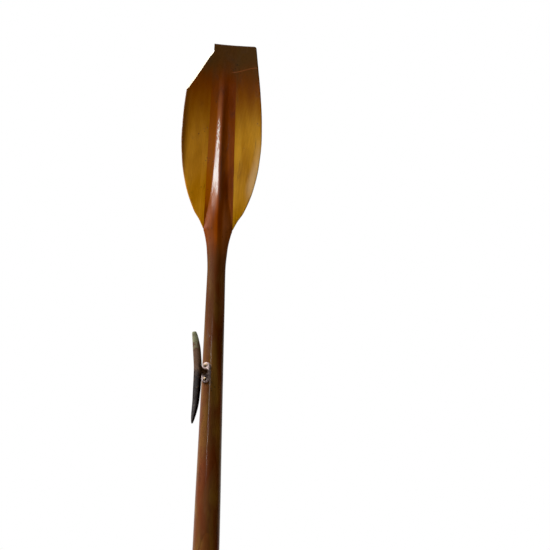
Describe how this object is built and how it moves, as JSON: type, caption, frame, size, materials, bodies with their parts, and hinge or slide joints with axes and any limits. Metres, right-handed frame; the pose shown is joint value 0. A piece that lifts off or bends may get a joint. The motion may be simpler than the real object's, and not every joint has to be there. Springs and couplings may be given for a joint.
{
  "type": "rowing oar",
  "caption": "Wooden sculling oar with a laminated spoon blade that has lost a corner, a hollow loom, a leather sleeve and button, a bare grip and a horn cleat.",
  "frame": {"origin": "on the loom's centreline at the outboard face of the leather button, where the rowlock bears", "axes": "+Z along the loom towards the blade's tip, -Y out of the blade's hollow face, +X to the right seen from that face"},
  "size_m": [0.1652, 0.0878, 2.98],
  "materials": {
    "loom_wood": "gloss",
    "blade_wood": "gloss",
    "strip_wood": "gloss",
    "handle_wood": "matte",
    "core_wood": "matte",
    "sleeve_leather": "satin",
    "button_leather": "satin",
    "copper": "satin",
    "cleat_bronze": "satin",
    "screw_brass": "satin"
  },
  "bodies": {
    "root": {"outboard_face_half": "loom_wood", "outboard_back_half": "loom_wood", "inboard_face_half": "loom_wood", "inboard_back_half": "loom_wood", "backbone_strip": "strip_wood", "blade_wing_left": "blade_wood", "blade_wing_right": "blade_wood", "handle": "handle_wood", "rowlock_core": "core_wood", "sleeve": "sleeve_leather", "button_strap_inner": "button_leather", "button_strap_middle": "button_leather", "button_strap_outer": "button_leather", "outboard_tack_1": "copper", "outboard_tack_2": "copper", "outboard_tack_3": "copper", "outboard_tack_4": "copper", "outboard_tack_5": "copper", "outboard_tack_6": "copper", "outboard_tack_7": "copper", "inboard_tack_1": "copper", "inboard_tack_2": "copper", "inboard_tack_3": "copper", "inboard_tack_4": "copper", "inboard_tack_5": "copper", "inboard_tack_6": "copper", "inboard_tack_7": "copper", "button_nail_1": "copper", "button_nail_2": "copper", "button_nail_3": "copper", "button_nail_4": "copper", "cleat": "cleat_bronze", "cleat_screw_1": "screw_brass", "cleat_screw_2": "screw_brass"}
  },
  "joints": []
}
